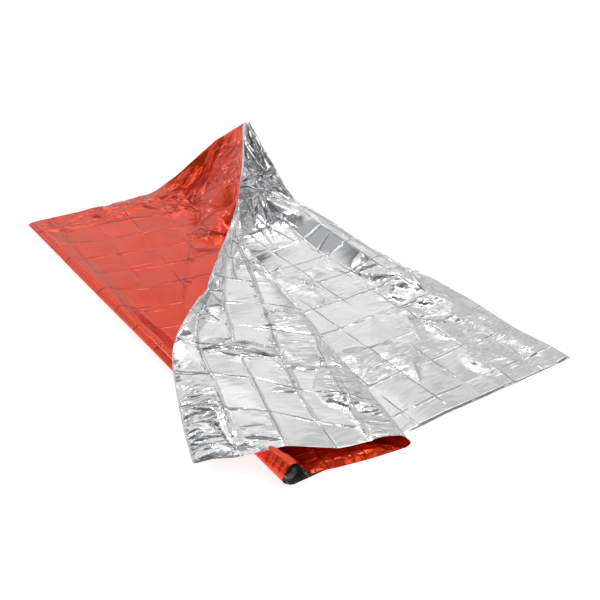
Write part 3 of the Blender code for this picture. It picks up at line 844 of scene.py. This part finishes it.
def principled(name, **settings):
    """A material with the plain values of its shader set: the material, its nodes, the shader."""
    material = bpy.data.materials.new(name)
    material.use_nodes = True
    shader = material.node_tree.nodes["Principled BSDF"]
    for key, value in settings.items():
        shader.inputs[key.replace("_", " ")].default_value = value
    return material, Nodes(material.node_tree), shader


# The finish's lines and heights, in metres. Each range with four numbers says between which two
# of a noise's values the finish goes over from the third to the fourth.
LINE_WIDTH = 0.0035        # how far a packing crease's sharp line reaches to either side
LINE_HEIGHT = 0.0024
LINE_WAVER = 0.05          # how far it strays, in panels
LINE_BREAKS = (0.40, 0.62, 0.0, 1.0)
CROSS_WIDTH = 0.010        # the softer ridge, or trough, along a crosswise crease
CROSS_HEIGHTS = (0.38, 0.56, -0.0008, 0.0017)
CREST_WIDTH = (0.0008, 0.0035)  # a listed crease's crest, darkened by painted shade: how far apart its planes are
CREST_START = 0.0015       # and how high it has to be for a full one
WRINKLES = dict(scale=30.0, detail=2.0, Roughness=0.4)
WRINKLE_HEIGHT = 0.0002
WIDE_FOLDS = dict(size=0.032, slope=0.10, turn=0.9)
FINE_FOLDS = dict(size=0.013, slope=0.20, turn=1.2)
FOLD_SHARES = (1.0, 0.8, 0.6)   # the slopes of small folds that run in three directions
FOLD_TURN = 1.13           # from each direction to the next, in radians
FOLD_MASK = (0.42, 0.60, 0.06, 1.1)
FOLD_PUSH = 1.6            # how far a noise pushes them about, in sizes
FOLDS_DRAWN = (0.45, 1.0, 1.0)  # how they are scaled: drawn out across the film
# how much painted shade darkens the crests and the crease lines, as a range on a noise
CREASE_SHADE = (0.40, 0.62, 0.25, 0.75)
ROUGHER = (0.80, 1.30)     # from the smoothest places to the roughest
EDGE_GLINT_BLUR = 0.001        # how soft the painted highlight's border along the free edge is


def crease_lines(nodes, count, pitch, width):
    """1 on the whole numbers of a panel count and 0 further than width from them, in metres."""
    part = nodes.math("FRACT", nodes.plus(count, 0.5))
    away = nodes.math("ABSOLUTE", nodes.math("SUBTRACT", part, 0.5))
    return nodes.ramp(nodes.times(away, pitch), 0.0, width, 1.0, 0.0)


def crumples(nodes, place, size, slope, turn):
    """Heights of small folds: the sum of zigzags that run in three directions, each with straight
    sides. One noise pushes them about, and another lets each stand at its full slope only here
    and there."""
    push = nodes.add("ShaderNodeTexNoise", {"Vector": place, "Scale": 0.35 / size, "Detail": 1.0})
    pushed = nodes.add("ShaderNodeVectorMath",
                       {0: push.outputs["Color"], 1: (FOLD_PUSH * size, FOLD_PUSH * size, 0.0),
                        2: place}, operation="MULTIPLY_ADD").outputs[0]
    total = 0.0
    for number, share in enumerate(FOLD_SHARES):
        angle = turn + number * FOLD_TURN
        across = nodes.add("ShaderNodeVectorMath",
                           {0: pushed, 1: (math.cos(angle), math.sin(angle), 0.0)},
                           operation="DOT_PRODUCT").outputs["Value"]
        moved = nodes.add("ShaderNodeVectorMath", {0: pushed, 1: (3.0 * number, 7.0, 0.0)},
                          operation="ADD").outputs[0]
        zigzag = nodes.math("PINGPONG", across, size * (0.8 + 0.35 * number))
        mask = nodes.ramp(nodes.noise(moved, 0.4 / size, 0.0), *FOLD_MASK)
        total = nodes.plus(nodes.times(zigzag, slope * share, mask), total)
    return total


def sharp_creases(nodes):
    """The listed creases' roofs, from the two planes that the film carries for them: the
    height, and 1 on the crest, falling to 0 a few millimetres off it, where painted shade goes."""
    front, back = nodes.carried("creases")[:2]
    height = nodes.math("MAXIMUM", nodes.math("MINIMUM", front, back), 0.0)
    apart = nodes.math("ABSOLUTE", nodes.math("SUBTRACT", front, back))
    crest = nodes.times(nodes.ramp(apart, *CREST_WIDTH, 1.0, 0.0),
                        nodes.ramp(height, 0.0, CREST_START))
    return height, crest


def packing_creases(nodes, wobble):
    """Lines on the packing creases, 1 on a crease and 0 beside it, which stray a little with the
    wobble: sharp ones both ways, and the wider ones on the crosswise creases."""
    lengthwise, crosswise = nodes.carried("panels")[:2]
    shift = nodes.times(nodes.math("SUBTRACT", wobble, 0.5), LINE_WAVER)
    lengthwise = nodes.plus(lengthwise, shift)
    crosswise = nodes.plus(crosswise, shift)
    sharp = nodes.math("MAXIMUM", crease_lines(nodes, lengthwise, CREASE_PITCH, LINE_WIDTH),
                       crease_lines(nodes, crosswise, CROSS_PITCH, LINE_WIDTH))
    return sharp, crease_lines(nodes, crosswise, CROSS_PITCH, CROSS_WIDTH)


def film_material(name, colour, crease_shade_colour, metallic, roughness, coat, edge_glint, edge_glint_width):
    """Bright metallised film. Its bump is the sum of small folds where it is crumpled, the sharp
    part of the listed creases, faint wrinkles, and lines along the packing creases. Painted shade
    darkens its colour on the crests and lines, and its roughness varies a little over it. Along
    its top free edge a pale strip with little metal is a painted highlight."""
    material, nodes, shader = principled(name, Metallic=metallic, Coat_Weight=coat,
                                         Coat_Roughness=0.05, Specular_IOR_Level=0.3)
    film_uv = nodes.add("ShaderNodeUVMap", uv_map="OFBake").outputs[0]
    flat = nodes.add("ShaderNodeMapping",
                     {"Vector": film_uv, "Scale": (2 * LAYER_WIDTH, LENGTH, 1.0)}).outputs[0]
    wobble = nodes.noise(flat, 9.0, 2.0)
    patches = nodes.noise(flat, 6.0, 3.0)
    sharp_lines, wide_lines = packing_creases(nodes, wobble)
    broken_lines = nodes.times(sharp_lines, nodes.ramp(patches, *LINE_BREAKS))

    wide, fine = nodes.carried("crumpling")[:2]
    drawn = nodes.add("ShaderNodeMapping", {"Vector": flat, "Scale": FOLDS_DRAWN}).outputs[0]
    roofs, crests = sharp_creases(nodes)
    height = nodes.plus(
        nodes.times(crumples(nodes, drawn, **WIDE_FOLDS), wide),
        nodes.times(crumples(nodes, drawn, **FINE_FOLDS), fine),
        nodes.times(roofs, SHARP_SHARE),
        nodes.times(nodes.noise(flat, **WRINKLES), WRINKLE_HEIGHT),
        nodes.times(broken_lines, LINE_HEIGHT),
        nodes.times(wide_lines, nodes.ramp(wobble, *CROSS_HEIGHTS)))
    bump = nodes.add("ShaderNodeBump", {"Height": height, "Strength": 1.0, "Distance": 1.0})
    nodes.give(shader.inputs["Normal"], bump.outputs[0])
    nodes.give(shader.inputs["Roughness"], nodes.ramp(patches, 0.3, 0.7, roughness * ROUGHER[0],
                                                      roughness * ROUGHER[1]))

    # Painted shade: the colour goes darker on the creases' crests and on the packing crease lines.
    crease_shade = nodes.times(nodes.math("MAXIMUM", crests, broken_lines), nodes.ramp(wobble, *CREASE_SHADE))
    tint = nodes.mix(crease_shade, (*colour, 1.0), (*crease_shade_colour, 1.0))
    # Painted highlight: a pale strip with little metal along the top free edge, where the edge
    # glints.
    across = nodes.carried("OFBake")[0]
    to_edge = nodes.times(nodes.math("SUBTRACT", 1.0, across), 2 * LAYER_WIDTH)
    pale = nodes.ramp(to_edge, edge_glint_width - EDGE_GLINT_BLUR, edge_glint_width + EDGE_GLINT_BLUR, 1.0, 0.0)
    nodes.give(shader.inputs["Base Color"], nodes.mix(pale, tint, (*edge_glint, 1.0)))
    nodes.give(shader.inputs["Metallic"], nodes.ramp(pale, 0.0, 1.0, metallic, 0.1))
    return material


WHITE = (1.0, 1.0, 1.0, 1.0)
FLOOR_HALF = 40.0          # from the floor's middle to each side
FLOOR_DROP = 0.0006        # how far it lies below the film, so that they don't share a plane


def floor():
    """A plain pale floor, wide enough to fill the view."""
    half = FLOOR_HALF
    corners = [(-half, -half, 0), (half, -half, 0), (half, half, 0), (-half, half, 0)]
    mesh = bpy.data.meshes.new("floor")
    mesh.from_pydata(corners, [], [(0, 1, 2, 3)])
    paint = principled("floor_paint", Base_Color=(0.50, 0.50, 0.50, 1.0), Roughness=0.9,
                       Specular_IOR_Level=0.1, Emission_Color=WHITE, Emission_Strength=0.80)[0]
    mesh.materials.append(paint)
    ground = put("floor", mesh)
    ground.location.z = -FLOOR_DROP


HEADING = math.atan2(0.5592, 0.8243)       # which way the camera looks, from +Y towards +X
CAMERA_PLACE = (-1.4680, -2.5210, 1.592)
CAMERA_PITCH = math.radians(29.26)         # how far down it looks
CAMERA_SENSOR = 36.0                       # the sensor's width and the lens, in millimetres
CAMERA_LENS = 51.3


def camera():
    """A camera at a standing person's height, from the near left corner."""
    data = bpy.data.cameras.new("camera")
    data.sensor_width = CAMERA_SENSOR
    data.lens = CAMERA_LENS
    data.clip_end = 2.5 * FLOOR_HALF
    view = put("camera", data)
    view.location = CAMERA_PLACE
    view.rotation_euler = (math.pi / 2 - CAMERA_PITCH, 0.0, -HEADING)
    bpy.context.scene.camera = view


# The studio, as soft-edged patches of light round the blanket. side is the range of bearings from
# the way the camera looks, clockwise, up the range of heights above the level and edge how softly
# they end, all in degrees. Where patches lie over each other the brightest counts.
STUDIO = (
    dict(name="room", side=(-200, 200), up=(-95, 95), edge=1, light=0.13),
    dict(name="low sweep", side=(-200, 200), up=(-95, 2), edge=5, light=0.62),
    dict(name="back wall, low", side=(-80, 85), up=(-10, 26), edge=6, light=0.58),
    dict(name="back wall, middle", side=(-54, 13), up=(12, 45), edge=6, light=0.88),
    dict(name="back wall, wide", side=(-54, 85), up=(12, 45), edge=7, light=0.70),
    dict(name="back wall, high", side=(-50, 13), up=(31, 47), edge=6, light=1.0),
    dict(name="back wall, high and wide", side=(-50, 80), up=(31, 47), edge=6, light=0.84),
    dict(name="upper left", side=(-80, -44), up=(36, 60), edge=5, light=0.44),
    dict(name="top strip", side=(-36, 45), up=(46, 57), edge=4, light=1.35),
    dict(name="ceiling", side=(-200, 200), up=(60, 76), edge=4, light=0.36),
    dict(name="overhead", side=(-200, 200), up=(48, 76), edge=8, light=0.27),
    dict(name="left wall", side=(-74, -42), up=(6, 30), edge=5, light=0.88),
    dict(name="lamp", side=(-12, 8), up=(50, 57), edge=2, light=8.0),
    dict(name="lamp's middle", side=(-8, 3), up=(52, 55), edge=1, light=13.0),
    dict(name="overhead lamp", side=(-10, 16), up=(65, 71), edge=2, light=9.0),
    dict(name="side lamp", side=(-46, -42), up=(12, 16), edge=2, light=8.0),
    dict(name="low left lamp", side=(-49, -43), up=(36, 40), edge=2, light=9.0),
    dict(name="left lamp", side=(-141, -136), up=(30, 36), edge=2, light=5.0),
    dict(name="left box", side=(-158, -124), up=(14, 50), edge=5, light=1.6),
    dict(name="right box", side=(90, 134), up=(15, 50), edge=5, light=1.4),
    dict(name="box behind", side=(160, 178), up=(20, 45), edge=5, light=1.6),
)
DIM_TINT = (0.90, 0.95, 1.0, 1.0)   # the colour of the room's dim parts
DIM = (0.35, 0.70)              # up to what light the room counts as dim, and from what as bright
CLOUDS_SCALE = 4.5              # how finely the light varies over a patch
CLOUDS = (0.35, 0.65, 0.72, 1.12)   # between which values of a noise, and how much


def patch_light(nodes, bearing, height, patch):
    """A patch's light at a bearing and a height: full inside its ranges, and an S to nothing over
    its edge on each of the four sides."""
    edge = patch["edge"]
    light = patch["light"]
    for angle, (low, high) in ((bearing, patch["side"]), (height, patch["up"])):
        light = nodes.times(light, nodes.ramp(angle, low - edge, low + edge),
                            nodes.ramp(angle, high - edge, high + edge, 1.0, 0.0))
    return light


def studio():
    """A white studio made of soft patches of light, worked out from the direction alone."""
    world = bpy.data.worlds.new("studio")
    bpy.context.scene.world = world
    world.use_nodes = True
    nodes = Nodes(world.node_tree)
    way = nodes.add("ShaderNodeTexCoord").outputs["Generated"]
    turned = nodes.add("ShaderNodeVectorRotate", {"Vector": way, "Angle": HEADING},
                       rotation_type="Z_AXIS").outputs[0]
    x, y, z = nodes.add("ShaderNodeSeparateXYZ", {0: turned}).outputs
    bearing = nodes.math("DEGREES", nodes.math("ARCTAN2", x, y))
    height = nodes.math("DEGREES", nodes.math("ARCSINE", z))
    total = 0.0
    for patch in STUDIO:
        total = nodes.math("MAXIMUM", patch_light(nodes, bearing, height, patch), total)
    clouds = nodes.ramp(nodes.noise(turned, CLOUDS_SCALE, 1.0), *CLOUDS)
    background = world.node_tree.nodes["Background"]
    nodes.give(background.inputs["Strength"], nodes.times(total, clouds))
    nodes.give(background.inputs["Color"], nodes.mix(nodes.ramp(total, *DIM), DIM_TINT, WHITE))
    bpy.context.scene.view_settings.view_transform = "Standard"


def blanket():
    """The film's two skins, orange outside and silver inside."""
    outer, inner, numbers = film()
    orange = film_material(
        "orange_film", colour=(0.97, 0.056, 0.005), crease_shade_colour=(0.42, 0.004, 0.002),
        metallic=0.65, roughness=0.20, coat=0.40, edge_glint=(1.0, 0.99, 0.98), edge_glint_width=0.035)
    silver = film_material(
        "silver_film", colour=(0.88, 0.875, 0.88), crease_shade_colour=(0.31, 0.31, 0.31),
        metallic=0.97, roughness=0.10, coat=0.0, edge_glint=(0.95, 0.94, 0.94), edge_glint_width=0.008)
    outside = skin("foil_outside", outer, numbers, orange, True)
    inside = skin("foil_inside", inner, numbers, silver, False)


blanket()
floor()
studio()
camera()

bpy.context.view_layer.update()
